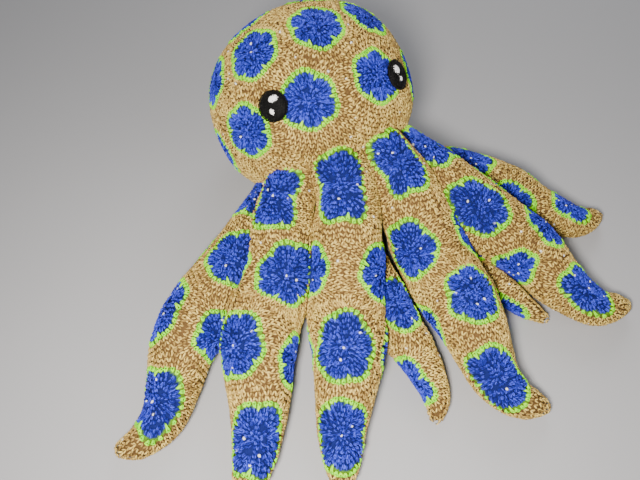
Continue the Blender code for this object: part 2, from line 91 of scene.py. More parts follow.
# half length and half width of the flowers at the root, in the two rows and at the tip
ARM_FLOWER_SIZES = ((0.046, 0.039), (0.044, 0.041), (0.0415, 0.0425), (0.041, 0.038))
ARM_FLOWER_SQUARE = (1.15, 0.15, 0.0, 0.6)      # how much like a rounded rectangle they lie
# arm number: (share of the arm, turn, size) of its flowers: one at the root, a row of
# three, a second row of three, and one at the tip
ARM_FLOWERS = {
    1: (((0.130, 30, 1.0),), ((0.365, -12, 1.0), (0.365, 108, 1.0), (0.365, -132, 1.0)),
        ((0.579, 58, 1.0), (0.595, -78, 1.0), (0.610, 170, 1.0)), ((0.818, 24, 1.12),)),
    2: (((0.130, 20, 0.95),), ((0.352, -25, 1.06), (0.365, 95, 1.0), (0.365, -145, 1.0)),
        ((0.594, 36, 0.97), (0.622, -88, 0.95), (0.610, 155, 1.0)), ((0.837, -4, 1.08),)),
    3: (((0.130, 18, 1.02),), ((0.376, 78, 0.97), (0.385, -63, 1.03), (0.365, -174, 1.0)),
        ((0.640, 9, 1.02), (0.610, 124, 1.0), (0.610, -116, 1.0)), ((0.863, 0, 1.04),)),
    4: (((0.130, 0, 1.0),), ((0.365, 52, 1.0), (0.365, -68, 1.0), (0.365, 172, 1.0)),
        ((0.649, -17, 0.96), (0.610, 112, 1.0), (0.610, -128, 1.0)), ((0.864, 98, 1.0),)),
    5: (((0.126, 8, 0.93),), ((0.370, 56, 1.0), (0.400, -73, 0.94), (0.365, 172, 1.0)),
        ((0.602, -3, 0.92), (0.610, 126, 1.0), (0.610, -120, 1.0)), ((0.829, 19, 1.0),)),
    6: (((0.130, 0, 1.0),), ((0.365, 84, 1.0), (0.365, -36, 1.0), (0.365, -156, 1.0)),
        ((0.610, 24, 1.0), (0.610, 144, 1.0), (0.610, -96, 1.0)), ((0.852, 122, 0.96),)),
    7: (((0.150, -18, 0.94),), ((0.384, 28, 0.98), (0.365, 150, 1.0), (0.365, -88, 1.0)),
        ((0.604, 84, 0.94), (0.583, -37, 0.90), (0.606, -157, 0.98)), ((0.812, -2, 0.97),)),
    8: (((0.130, 0, 1.0),), ((0.393, -6, 0.97), (0.365, 110, 1.0), (0.365, -130, 1.0)),
        ((0.602, 58, 0.88), (0.610, 164, 0.92), (0.610, -92, 0.92)), ((0.812, -21, 0.88),)),
}
HEAD_FLOWER = 0.0385
HEAD_FLOWERS = ((-8.5, (-80, -40, -1, 39.5, 82, 131, 180, 230)),
                (27.0, (-61, -21, 19, 57.5, 102, 150, 200, 250)),
                (62.0, (-40, 50, 140, 230)))
EYES = {"left": (-4.1, -18.0), "right": (-10.3, 52.2)}
EYE_SIZE = (0.0195, 0.0188, 0.0072)
EYE_PROUD = 0.0015
GLINTS = {
    "left": {"large": (0.0075, -0.0055, 0.0050, 0.0070), "small": (-0.0065, 0.0020, 0.0046, 0.0032)},
    "right": {"large": (0.0060, 0.0062, 0.0068, 0.0054), "small": (-0.0062, 0.0030, 0.0040, 0.0032)},
}

HEAD_SIDE = np.cross(HEAD_AXIS, HEAD_FRONT)
HEAD_MIDDLE = HEAD_CENTRE + HEAD_WIDE_AT * HEAD_R * HEAD_AXIS
SHIFT = np.array((PLAN_MIDDLE[0], PLAN_MIDDLE[1], 0.0))

# The crochet
COAT = 0.0030             # depth of the stitches over the skin
FLOOR_COAT = 0.0022       # the same where the toy's weight presses them on the floor
TOUCH = 0.0058            # between the skins of two arms that press on each other
BULGE = 0.0020            # how far an arm swells into a narrow slot beside its neighbour
PITCH = 0.0064            # width of a tan stitch
ROW = 0.0060              # height of a tan row
HIDDEN = 0.0160           # skin pressed in further than this is out of sight
FADE_FROM, FADE_RUN = 0.012, 0.009      # widths of slot over which the swelling dies away
ROOT_SWELL, ROOT_FROM, ROOT_FADE = 0.45, 0.09, 0.05     # an arm swells more near its root
LEAST_SHARE = 0.12        # of an arm's radius, where it is pressed in most
LEAST_REACH, LEAST_GIRTH = 0.0011, 0.004        # of an arm's skin, and for its flowers
UNPRESSED = 0.999         # share of its reach above which nothing presses on an arm
ARM_FREE, HEAD_FREE, FREE_RUN = 0.72, 0.75, 0.2     # shares of the run at which an arm leaves
DEEP = 0.05               # an arm's root may lie this far inside the head
INTO_HEAD, INTO_ARM = 0.004, 0.003      # stitches that stand deeper in these are left out
OVERLAP = 0.0016          # rows of two flowers run this far into each other
SPECKS = 0.010            # share of the tan stitches with a speck of stuffing
CLEAR, BARE, FILL = 0.0022, 0.0046, 0.0052      # gaps: off a flower, off a stitch, apart
NOMINAL = 0.040           # radius of a flower that the pattern is drawn at
BLUE_RADIUS = 0.0350      # reach of its petals
TOOTH_RADIUS = 0.0374     # where the teeth of its lime edge stand
WAVE_FROM, WAVE_RUN = 0.012, 0.018      # radii over which its rounds take the petals' shape
HOLE_FROM, HOLE_TO, HOLE_WIDE = 0.011, 0.015, 0.32      # the hole at the foot of each petal
UNEVEN = 0.07             # how much stitches differ in size
SKIN_VOXEL = 0.0036
STEP, ARM_STEP = 1e-4, 0.004      # for slopes of the head's surface and of an arm's line
MARGIN, SPAN, PATCH = 0.02, 0.95, 0.003     # of the unwrap, and of a stitch's patch in it

rng = np.random.default_rng(11)


def unit(v):
    return v / np.maximum(np.linalg.norm(v, axis=-1, keepdims=True), 1e-12)


def run_of(line):
    """Distance along a line at each of its points."""
    return np.concatenate([[0], np.cumsum(np.linalg.norm(np.diff(line, axis=0), axis=1))])


def side_and_top(along):
    """The level direction across a line, and the one square to both."""
    side = unit(np.cross(along, np.array((0, 0, 1.0))))
    return side, np.cross(side, along)


def rounded(angle, power):
    """Reach at an angle of a rounded box, or of a leaf where the power is under 2."""
    return (np.abs(np.cos(angle)) ** power + np.abs(np.sin(angle)) ** power) ** (-1 / power)


def linked(name, data):
    """A new object of the data, in the scene."""
    item = bpy.data.objects.new(name, data)
    bpy.context.scene.collection.objects.link(item)
    return item


def smooth_faces(mesh):
    mesh.polygons.foreach_set("use_smooth", np.ones(len(mesh.polygons), bool))


def smooth_object(name, spots, faces, material=None):
    """An object of faces over points that are in the part's frame."""
    mesh = bpy.data.meshes.new(name)
    mesh.from_pydata(np.array(spots).tolist(), [], faces)
    mesh.update()
    smooth_faces(mesh)
    if material:
        mesh.materials.append(material)
    return linked(name, mesh)


def head_level(points):
    rel = (points - HEAD_MIDDLE) / HEAD_R
    along = rel @ HEAD_AXIS
    across = np.linalg.norm(rel - along[..., None] * HEAD_AXIS, axis=-1)
    half = np.where(along > 0, HEAD_TOP - HEAD_WIDE_AT, HEAD_WIDE_AT - HEAD_FOOT)
    power = np.where(along > 0, TOP_POWER, FOOT_POWER)
    return ((np.abs(along) / half) ** power + (across / HEAD_WIDE) ** power) ** (1 / power)


def head_distance(points):
    level = np.maximum(head_level(points), 1e-6)
    return np.linalg.norm(points - HEAD_MIDDLE, axis=-1) * (1 - 1 / level)


def head_out(points):
    """Directions straight out of the head's surface."""
    slope = [head_level(points + STEP * e) - head_level(points - STEP * e) for e in np.eye(3)]
    return unit(np.array(slope).T)


def head_direction(latitude, longitude):
    a, b = np.radians(latitude), np.radians(longitude)
    around = np.cos(b)[..., None] * HEAD_FRONT + np.sin(b)[..., None] * HEAD_SIDE
    return np.cos(a)[..., None] * around + np.sin(a)[..., None] * HEAD_AXIS


def smooth_step(t):
    t = np.clip(t, 0, 1)
    return t * t * (3 - 2 * t)


def between(t, start, end, a, b):
    return (end - t) / (end - start) * a + (t - start) / (end - start) * b


def through(points, count):
    """A smooth curve through the points, evenly spaced."""
    p = np.vstack([2 * points[0] - points[1], points, 2 * points[-1] - points[-2]])
    out = []
    for a, b, c, d in zip(p, p[1:], p[2:], p[3:]):
        t0, t1 = 0.0, math.sqrt(np.linalg.norm(b - a))
        t2 = t1 + math.sqrt(np.linalg.norm(c - b))
        t3 = t2 + math.sqrt(np.linalg.norm(d - c))
        for t in np.linspace(t1, t2, 24, endpoint=False):
            ab, bc = between(t, t0, t1, a, b), between(t, t1, t2, b, c)
            cd = between(t, t2, t3, c, d)
            abc, bcd = between(t, t0, t2, ab, bc), between(t, t1, t3, bc, cd)
            out.append(between(t, t1, t2, abc, bcd))
    out = np.array(out + [points[-1]])
    run = run_of(out)
    even = np.linspace(0, run[-1], count)
    return np.array([np.interp(even, run, out[:, i]) for i in range(out.shape[1])]).T


class Arm:
    """One arm's skin: a grid of points over its run and its turn about the centre line."""
    RUNS, TURNS = 150, 96
    LINE_POINTS, SETTLINGS, HALVINGS = 111, 8, 13

    def __init__(self, number):
        longitude, self.leaves, drop, rise, self.girth, self.firm, places = ARMS[number]
        self.number = number
        b = math.radians(longitude)
        root = (HEAD_CENTRE + ROOT_AT * HEAD_R * HEAD_AXIS
                + ROOT_RING * (math.cos(b) * HEAD_FRONT + math.sin(b) * HEAD_SIDE))
        first_rest = ARM_RADIUS[0] * self.girth * REST_SHARE
        high = max(root[2], first_rest) - first_rest
        line = through(np.array([(root[0], root[1])] + list(places)), self.LINE_POINTS)
        for _ in range(self.SETTLINGS):
            run = run_of(line)
            self.radius = self.girth * np.interp(run / run[-1], ARM_SHARE, ARM_RADIUS)
            fall = 1 - smooth_step(run / drop)
            over = rise * np.sin(math.pi * np.clip(run / RISE_RUN, 0, 1)) ** 2
            height = self.radius * REST_SHARE + high * fall + over
            line = np.column_stack([line[:, :2], height])
        self.line, self.run, self.length = line, run, run[-1]
        self.line_square = (line ** 2).sum(axis=1)

    def at(self, s):
        return np.array([np.interp(s, self.run, self.line[:, i]) for i in range(3)]).T

    def girth_at(self, s):
        return np.interp(s, self.run, self.radius)

    def along(self, s):
        return unit(self.at(np.asarray(s) + ARM_STEP) - self.at(np.asarray(s) - ARM_STEP))

    def distance(self, points):
        square = (points ** 2).sum(axis=1)[:, None] + self.line_square - 2 * points @ self.line.T
        far = np.sqrt(np.maximum(square, 0)) - self.radius
        near = far.argmin(axis=1)
        return far[np.arange(len(points)), near], self.run[near]

    def section(self, s, turn):
        side, top = side_and_top(self.along(s))
        return np.cos(turn)[..., None] * top + np.sin(turn)[..., None] * side

    def spare(self, points, s):
        """How far the points are from what presses on the arm there."""
        own, _ = self.distance(points)
        spare = np.full(len(points), 1.0)
        for other in ARM_LIST:
            if other is self:
                continue
            far, run = other.distance(points)
            left = np.maximum(s / self.leaves, run / other.leaves)
            free = smooth_step((left - ARM_FREE) / FREE_RUN)
            keep = FUSE + (TOUCH - FUSE) * free - (self.firm - other.firm)
            spare = np.minimum(spare, far - own - keep)
        free = smooth_step((s / self.leaves - HEAD_FREE) / FREE_RUN)
        return np.minimum(spare, head_distance(points) + DEEP - (DEEP + COAT) * free)

    def room(self, centre, out, s):
        """The share of its reach that the arm has room for."""
        share = np.ones(len(s))
        tight = np.nonzero(self.spare(centre + out, s) < 0)[0]
        centre, out, s = centre[tight], out[tight], s[tight]
        low, high = np.full(len(s), LEAST_SHARE), np.ones(len(s))
        for _ in range(self.HALVINGS):
            middle = (low + high) / 2
            fits = self.spare(centre + out * middle[:, None], s) >= 0
            low, high = np.where(fits, middle, low), np.where(fits, high, middle)
        share[tight] = low
        return share

    def make_grid(self):
        """Skin points, normals and how far each is pressed in."""
        runs = np.linspace(0, self.length, self.RUNS)
        turns = np.arange(self.TURNS) * 2 * math.pi / self.TURNS
        s, turn = [g.ravel() for g in np.meshgrid(runs, turns, indexing="ij")]
        centre = self.at(s)
        reach = np.maximum(self.girth_at(s) - COAT, LEAST_REACH)
        out = self.section(s, turn) * reach[:, None]
        share = self.room(centre, out, s)
        points = centre + out * share[:, None]
        slot = COAT + np.min([other.distance(points)[0] for other in ARM_LIST
                              if other is not self], axis=0)
        most = BULGE * (1 + ROOT_SWELL * (1 - smooth_step((s - ROOT_FROM) / ROOT_FADE)))
        bulge = np.clip((slot - TOUCH) / 2, 0, most)
        bulge *= 1 - smooth_step((slot - FADE_FROM) / FADE_RUN)
        points = points + unit(out) * (bulge * (share > UNPRESSED))[:, None]
        points[:, 2] = np.maximum(points[:, 2], FLOOR_COAT)
        points = points.reshape(self.RUNS, self.TURNS, 3)
        across = np.roll(points, -1, axis=1) - np.roll(points, 1, axis=1)
        normal = unit(np.cross(np.gradient(points, axis=0), across))
        outward = points - centre.reshape(points.shape)
        normal *= np.sign((normal * outward).sum(axis=2, keepdims=True) + 1e-12)
        self.points, self.normal = points, normal
        self.pressed = ((1 - share) * reach).reshape(self.RUNS, self.TURNS)

    def skin(self, where):
        """Place, normal and whether it shows, at (run, turn) pairs."""
        s, turn = where[:, 0], where[:, 1]
        i = np.clip(s / self.length * (self.RUNS - 1), 0, self.RUNS - 1.0001)
        j = (turn / (2 * math.pi) * self.TURNS) % self.TURNS
        i0, j0 = i.astype(int), j.astype(int) % self.TURNS
        fi, fj = (i - i0)[:, None], (j - np.floor(j))[:, None]
        i1, j1 = i0 + 1, (j0 + 1) % self.TURNS

        def mix(grid):
            a = grid[i0, j0] * (1 - fj) + grid[i0, j1] * fj
            b = grid[i1, j0] * (1 - fj) + grid[i1, j1] * fj
            return a * (1 - fi) + b * fi

        place, normal = mix(self.points), unit(mix(self.normal))
        pressed = mix(self.pressed[..., None])[:, 0]
        shows = (pressed < HIDDEN) & (s > 0.004) & (s < self.length * 0.9985)
        shows &= head_distance(place) > -INTO_HEAD
        return place, normal, shows

    def unwrap(self, where):
        turn = where[:, 1] / (2 * math.pi) % 1.0
        return MARGIN + SPAN * np.column_stack([where[:, 0] / self.length, turn])


class Head:
    """The head's skin, by directions out of its middle."""

    def skin(self, where):
        reach = 1 / head_level(HEAD_MIDDLE + where)
        place = HEAD_MIDDLE + where * reach[:, None]
        normal = head_out(place)
        place = place - normal * COAT
        shows = place[:, 2] > 0.0
        place[:, 2] = np.maximum(place[:, 2], FLOOR_COAT)
        for arm in ARM_LIST:
            shows &= arm.distance(place)[0] > -INTO_ARM
        return place, normal, shows

    def unwrap(self, where):
        latitude = np.arcsin(np.clip(where @ HEAD_AXIS, -1, 1))
        longitude = np.arctan2(where @ HEAD_SIDE, where @ HEAD_FRONT)
        return MARGIN + SPAN * (np.column_stack([longitude / 2, latitude]) / math.pi + 0.5)


class Flower:
    """A flower's outline: a circle pulled into six blunt corners, and a little out of true."""

    def __init__(self, square=0.0):
        self.spin, self.square = math.radians(rng.uniform(0, 60)), square
        self.wave = [(n, size * rng.normal(), rng.uniform(0, 2 * math.pi))
                     for n, size in ((2, 0.022), (3, 0.018), (4, 0.012), (5, 0.010))]

    def outline(self, angle):
        """Reach at an angle of its plane, as a share of the ellipse of its two half sizes."""
        reach = 1 + 0.030 * np.cos(6 * (angle - self.spin))
        for n, size, phase in self.wave:
            reach = reach + size * np.cos(n * angle + phase)
        box = rounded(angle, 3.6)
        return reach * (1 + self.square * (box * 0.95 - 1 - 0.05 * np.cos(4 * angle)))


class ArmFlower(Flower):
    """A flower's own plane, rolled round an arm: x along it and y round it."""
    stuffing = 0.24           # share of its holes in which stuffing shows

    def __init__(self, arm, share, half_length, half_width, turn, square=0.0):
        super().__init__(square)
        self.host = arm
        self.s, self.turn = share * arm.length, math.radians(turn)
        self.a, self.b = half_length, half_width * min(1.0, arm.girth + 0.04)

    def spots(self, x, y):
        s = np.clip(self.s + x, 0, self.host.length)
        girth = np.maximum(self.host.girth_at(s), LEAST_GIRTH)
        return np.column_stack([s, self.turn + y / girth])

    def inside(self, x, y):
        s = self.s + x
        girth = np.maximum(self.host.girth_at(s), LEAST_GIRTH)
        return (s > 0) & (s < self.host.length) & (np.abs(y) <= math.pi * girth * 1.01)

    def plane(self, where):
        around = (where[:, 1] - self.turn + math.pi) % (2 * math.pi) - math.pi
        return where[:, 0] - self.s, around * self.host.girth_at(where[:, 0])

    def apart(self, where):
        """Distance from its edge, over the arm, of (run, turn) pairs."""
        x, y = self.plane(where)
        share = np.hypot(x / self.a, y / self.b) / self.outline(np.arctan2(y / self.b, x / self.a))
        return np.hypot(x, y) * (1 - 1 / np.maximum(share, 1e-3))


class HeadFlower(Flower):
    """A flower's own plane, bent over the head: x up it and y round it."""
    stuffing = 0.08

    def __init__(self, head, latitude, longitude):
        super().__init__()
        self.host = head
        self.middle = head_direction(latitude, longitude)
        self.up = unit(HEAD_AXIS - (HEAD_AXIS @ self.middle) * self.middle)
        self.side = np.cross(self.middle, self.up)
        self.a = self.b = HEAD_FLOWER
        self.reach = 1 / head_level(HEAD_MIDDLE + self.middle[None])[0]

    def spots(self, x, y):
        angle = np.hypot(x, y) / self.reach
        flat = unit(np.stack([x, y], axis=-1) + 1e-9)
        around = flat[:, :1] * self.up + flat[:, 1:] * self.side
        return np.cos(angle)[:, None] * self.middle + np.sin(angle)[:, None] * around

    def inside(self, x, y):
        return np.hypot(x, y) < 0.16

    def plane(self, where):
        away = np.arccos(np.clip(where @ self.middle, -1, 1)) * self.reach
        angle = np.arctan2(where @ self.side, where @ self.up)
        return away * np.cos(angle), away * np.sin(angle)

    def apart(self, where):
        x, y = self.plane(where)
        return np.hypot(x, y) - self.a * self.outline(np.arctan2(y, x))


ARM_LIST = [Arm(number) for number in ARMS]
for arm in ARM_LIST:
    arm.make_grid()
HEAD = Head()


# Strands and stitches
MM = 0.001
SECTION = np.radians((-108, -38, 38, 108))       # a strand is round above and flat below


class Template:
    """Closed strands of yarn in a stitch's own frame, in mm: across, outward, height."""

    def __init__(self, strands):
        sides = len(SECTION)
        verts, loops, sizes, uvs, strand_of = [], [], [], [], []
        for number, strand in enumerate(strands):
            line, widths, heights = (np.array(values) * MM for values in strand)
            base = len(verts)
            rings = len(line) - 2
            run = run_of(line)
            for k in range(1, rings + 1):
                side, top = side_and_top(unit(line[k + 1] - line[k - 1]))
                for turn in SECTION:
                    verts.append(line[k] + side * math.sin(turn) * widths[k - 1]
                                 + top * math.cos(turn) * heights[k - 1])
            verts += [line[0], line[-1]]
            ends = {0: base + rings * sides, rings + 1: base + rings * sides + 1}
            faces = [((k, m), (k + 1, m), (k + 1, m + 1), (k, m + 1))
                     for k in range(1, rings) for m in range(sides)]
            for m in range(sides):
                faces += [((0, m + 0.5), (1, m), (1, m + 1)),
                          ((rings, m), (rings + 1, m + 0.5), (rings, m + 1))]
            for face in faces:
                loops += [ends.get(k, base + (k - 1) * sides + m % sides) for k, m in face]
                uvs += [(run[k], m / sides) for k, m in face]
                sizes.append(len(face))
            strand_of += [number] * (len(verts) - base)
        self.verts, self.loops, self.sizes = map(np.array, (verts, loops, sizes))
        self.uvs, self.strand_of, self.strands = np.array(uvs), np.array(strand_of), len(strands)
        low, high = self.verts.min(axis=0), self.verts.max(axis=0)
        self.patch = ((self.verts - low) / (high - low))[:, :2]


def mirrored(strand):
    line, widths, heights = strand
    return [(-x, y, z) for x, y, z in line], widths, heights


# A leg of a single crochet's V: it comes out from under the row before, and its plump
# shoulder turns out and down under the next row
LEG = ([(0.30, -3.4, 0.2), (0.85, -2.3, 1.6), (1.6, -0.2, 2.3), (2.4, 1.6, 1.9),
        (3.0, 3.0, 0.2)], [1.0, 1.3, 1.05], [0.95, 1.15, 1.0])
SINGLE = Template([LEG, mirrored(LEG)])

# A piece of a tall blue stitch: two short strands side by side that lean over each other
BIT_LEFT = ([(-0.75, -2.9, 0.5), (-0.85, -1.2, 2.2), (-0.40, 1.4, 2.6), (0.25, 2.9, 0.7)],
            [0.72, 0.78], [0.9, 1.05])
BIT_RIGHT = ([(0.95, -3.0, 0.5), (1.05, -1.1, 1.9), (0.85, 1.2, 2.2), (0.65, 2.7, 0.7)],
             [0.70, 0.74], [0.85, 0.95])
BIT = Template([BIT_LEFT, BIT_RIGHT])

# The lime edge: plump teeth side by side over the petal's end, with a loop along their
# outer side, and a long stitch with the same loop between two petals
TOOTH = ([(0.1, -3.0, 0.4), (0.55, -2.1, 2.0), (1.15, -0.5, 2.9), (1.75, 1.1, 2.3),
          (2.2, 2.5, 0.5)], [1.05, 1.4, 1.25], [1.1, 1.25, 1.1])
LOOP = ([(-3.6, 2.3, 0.3), (-2.0, 2.6, 1.5), (0.2, 2.9, 1.8), (2.3, 2.6, 1.5), (3.7, 2.2, 0.3)],
        [0.8, 0.95, 0.8], [0.9, 1.0, 0.9])
EDGE = Template([TOOTH, mirrored(TOOTH), LOOP])
SPIKE_LEG = ([(0.05, -8.8, 0.9), (0.45, -6.0, 2.6), (0.95, -1.8, 3.2), (1.7, 0.9, 2.4),
              (2.2, 2.3, 0.5)], [0.8, 1.3, 1.3], [1.0, 1.3, 1.2])
SPIKE = Template([SPIKE_LEG, mirrored(SPIKE_LEG), LOOP])
FLUFF = Template([([(-2.0, -0.5, 0.3), (-0.9, -0.3, 2.1), (0.8, 0.3, 2.3), (2.0, 0.4, 0.3)],
                   [1.5, 1.6], [1.0, 1.0])])


class Coat:
    """All the stitches of one colour on one part of the toy, joined in one mesh."""

    def __init__(self, name, material, slot=None):
        self.name, self.material, self.slot, self.batches = name, material, slot, []

    def add(self, template, place, axes, patch, tone):
        if len(place):
            self.batches.append((template, place, axes, patch, tone))

    def build(self):
        verts, loops, sizes, yarn, bake, tones = [], [], [], [], [], []
        base = 0
        for template, place, axes, patch, tone in self.batches:
            count, points = len(place), template.verts
            spots = place[:, None] + np.einsum("vi,nij->nvj", points, axes)
            spots[..., 2] = np.maximum(spots[..., 2], 0.0)
            verts.append((spots - SHIFT).reshape(-1, 3))
            shift = base + np.arange(count)[:, None] * len(points)
            loops.append((template.loops[None] + shift).ravel())
            sizes.append(np.tile(template.sizes, count))
            yarn.append(np.tile(template.uvs, (count, 1)))
            local = (patch[:, None] + template.patch[None] * PATCH)[:, template.loops]
            bake.append(local.reshape(-1, 2))
            tones.append(tone[:, template.strand_of].ravel())
            base += count * len(points)
        verts, loops, sizes = map(np.concatenate, (verts, loops, sizes))
        starts = np.cumsum(sizes) - sizes
        mesh = bpy.data.meshes.new(self.name)
        for items, key, values, kind in ((mesh.vertices, "co", verts, np.float32),
                                         (mesh.loops, "vertex_index", loops, np.int32),
                                         (mesh.polygons, "loop_start", starts, np.int32)):
            items.add(len(values))
            items.foreach_set(key, values.astype(kind).ravel())
        mesh.polygons.foreach_set("loop_total", sizes.astype(np.int32))
        smooth_faces(mesh)
        for name, values in (("yarn", yarn), ("OFBake", bake)):
            layer = mesh.uv_layers.new(name=name)
            layer.uv.foreach_set("vector", np.concatenate(values).astype(np.float32).ravel())
        layer = mesh.attributes.new("tone", "FLOAT", "POINT")
        layer.data.foreach_set("value", np.concatenate(tones).astype(np.float32))
        mesh.update(calc_edges=True)
        mesh.materials.append(self.material)
        item = linked(self.name, mesh)
        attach(item, "root")


ROOTS = []          # place and colour number of every stitch, for the skin's colours, darkened there as painted shade in the coat's gaps


def set_stitches(coat, template, flower, spots, ahead, colour, keep=None, tilt=7.0,
                 wander=0.00025, own_length=None):
    """Stitches at spots of a flower's plane, each pointing at its own spot ahead."""
    host = flower.host
    where = flower.spots(*spots)
    place, normal, shows = host.skin(where)
    reach = host.skin(flower.spots(*ahead))[0] - place
    outward = unit(reach - (reach * normal).sum(axis=1, keepdims=True) * normal)
    across = np.cross(normal, outward)
    use = shows & (np.linalg.norm(reach, axis=1) > 1e-6)
    if keep is not None:
        use &= keep
    count = len(place)
    angle = np.radians(rng.normal(0, tilt, count))[:, None]
    outward, across = (outward * np.cos(angle) + across * np.sin(angle),
                       across * np.cos(angle) - outward * np.sin(angle))
    for way in (across, outward):
        place = place + way * rng.normal(0, wander, (count, 1))
    size = 1 + rng.normal(0, UNEVEN, count)
    length = size if own_length is None else own_length
    axes = np.stack([across * size[:, None], outward * length[:, None], normal * size[:, None]],
                    axis=1)
    tone = rng.random((count, template.strands))
    coat.add(template, place[use], axes[use], host.unwrap(where)[use], tone[use])
    ROOTS.append((place[use], np.full(use.sum(), colour)))
    return use


def petal(angle):
    """How far an angle is from its petal's middle, from 0 to 1 between two petals."""
    return np.abs((angle / 60 + 0.5) % 1 - 0.5) * 2


# radius, strands round it, how much they lean, length
BLUE_ROUNDS = ((0.0034, 7, 18, 1.0), (0.0080, 14, 16, 1.0), (0.0127, 21, 16, 1.0),
               (0.0172, 28, 16, 1.0), (0.0216, 36, 20, 1.05), (0.0264, 43, 9, 1.2),
               (0.0318, 50, 8, 1.35))


def blue_edge(angle):
    return BLUE_RADIUS * (1 - 0.05 * petal(angle) ** 2 - 0.12 * petal(angle) ** 7)


def plane_point(flower, radius, angle):
    a = np.radians(angle) + flower.spin
    radius = radius * flower.outline(a) / NOMINAL
    return radius * np.cos(a) * flower.a, radius * np.sin(a) * flower.b


def dress_flower(flower, blue, lime, fluff):
    """Rounds of blue strands, the lime edge, and stuffing seen in the holes."""
    fans = np.arange(6) * 60.0
    for radius, count, tilt, length in BLUE_ROUNDS:
        angles = (np.arange(count) + rng.random()) * 360 / count + rng.normal(0, 60 / count, count)
        radii = radius + rng.normal(0, 0.0005, count)
        waved = smooth_step((radius - WAVE_FROM) / WAVE_RUN)
        radii *= 1 + (blue_edge(angles) / BLUE_RADIUS - 1) * waved
        hole = (radius > HOLE_FROM) & (radius < HOLE_TO) & (petal(angles) < HOLE_WIDE)
        set_stitches(blue, BIT, flower, plane_point(flower, radii, angles),
                     plane_point(flower, radii + 0.001, angles), 1, keep=~hole, tilt=tilt,
                     own_length=length * rng.uniform(0.85, 1.15, count))
    teeth = np.concatenate([fans + turn for turn in (-20, -10, 0, 10, 20)])
    for template, angles in ((EDGE, teeth), (SPIKE, fans + 30)):
        middle = TOOTH_RADIUS * (1 - 0.03 * petal(angles) ** 2)
        spots = plane_point(flower, middle, angles + rng.normal(0, 0.7, len(angles)))
        set_stitches(lime, template, flower, spots, plane_point(flower, middle + 0.002, angles), 2,
                     own_length=rng.uniform(0.9, 1.2, len(angles)))
    gaps = np.concatenate([[0], fans + rng.normal(0, 2, 6), fans + 30 + rng.normal(0, 3, 6)])
    radii = np.repeat((0.0008, 0.0142, 0.0262), (1, 6, 6))
    seen = rng.random(13) < flower.stuffing * np.repeat((2.0, 1.0, 0.6), (1, 6, 6))
    set_stitches(fluff, FLUFF, flower, plane_point(flower, radii, gaps),
                 plane_point(flower, radii + 0.001, gaps + 3), 1, keep=seen, tilt=40,
                 own_length=rng.uniform(0.7, 1.5, 13))


def dress_ground(flower, others, tan, fluff, rounds):
    """Rows of single crochet that follow the flower's edge out to its neighbours' rows."""
    angle = np.linspace(0, 2 * math.pi, 361)
    edge = flower.outline(angle)[:, None] * np.column_stack([flower.a * np.cos(angle),
                                                             flower.b * np.sin(angle)])
    slope = np.gradient(edge[:-1], axis=0)
    slope[[0, -1]] = edge[1] - edge[-2]
    out = unit(np.column_stack([slope[:, 1], -slope[:, 0]]))
    out = np.vstack([out, out[:1]])
    for number in range(rounds):
        line = edge + (number + 0.5) * ROW * out
        place = flower.host.skin(flower.spots(line[:, 0], line[:, 1]))[0]
        run = run_of(place)
        count = max(6, int(round(run[-1] / PITCH)))
        at = (np.arange(count) + rng.random()) / count * run[-1]
        spots, way = [np.array([np.interp(at, run, values) for values in item.T])
                      for item in (line, out)]
        where = flower.spots(*spots)
        own = flower.apart(where)
        keep = flower.inside(*spots) & (own > number * ROW)
        for other in others:
            if other is not flower:
                keep &= own < other.apart(where) + OVERLAP
        if not keep.any():
            if number > 3:
                break
            continue
        used = set_stitches(tan, SINGLE, flower, spots, spots + way * 0.0015, 0, keep=keep)
        specks = used & (rng.random(count) < SPECKS)
        set_stitches(fluff, FLUFF, flower, spots + way * 0.003,
                     (spots[0] + way[0] * 0.004, spots[1]), 0, keep=specks, tilt=60)


def tree_of(places):
    tree = KDTree(len(places))
    for number, place in enumerate(places):
        tree.insert(place, number)
    tree.balance()
    return tree


def fill_gaps(flowers, where, tan, roots):
    """Single crochet on the spots that the rows between the flowers have left bare."""
    place, _, shows = flowers[0].host.skin(where)
    apart = np.array([flower.apart(where) for flower in flowers])
    near = tree_of(np.concatenate([spots for spots, _ in roots]))
    chosen = []
    for i in np.nonzero(shows & (apart.min(axis=0) > CLEAR))[0]:
        if near.find(place[i])[2] < BARE:
            continue
        if chosen and np.linalg.norm(place[chosen] - place[i], axis=1).min() < FILL:
            continue
        chosen.append(i)
    chosen = np.array(chosen, int)
    nearest = apart[:, chosen].argmin(axis=0)
    for number, flower in enumerate(flowers):
        mine = where[chosen[nearest == number]]
        if len(mine):
            spots = np.array(flower.plane(mine))
            set_stitches(tan, SINGLE, flower, spots, spots * 1.03, 0)


# Materials
FLECK_SCALE, PATCH_SCALE, FIBRE_SCALE, CELL_SCALE = 620.0, 14.0, 2600.0, 330.0
STRAND_TONE, FLECK_TONE, PATCH_TONE = 0.42, 0.90, 0.30      # what each adds to a yarn's tone
TWISTS, PLIES = 700.0, 4.0      # turns of the plies in a metre of strand, and their number


def node(tree, kind, **values):
    made = tree.nodes.new(kind)
    for name, value in values.items():
        setattr(made, name, value)
    return made


def new_material(name, constants):
    """A material, its node tree and its shader, with constants by the names of their sockets."""
    made = bpy.data.materials.new(name)
    made.use_nodes = True
    shader = made.node_tree.nodes["Principled BSDF"]
    for socket, value in constants.items():
        shader.inputs[socket].default_value = value
    return made, made.node_tree, shader


def noise(tree, place, scale, detail):
    made = node(tree, "ShaderNodeTexNoise")
    made.inputs["Scale"].default_value = scale
    made.inputs["Detail"].default_value = detail
    tree.links.new(place.outputs["Object"], made.inputs["Vector"])
    return made.outputs["Fac"]


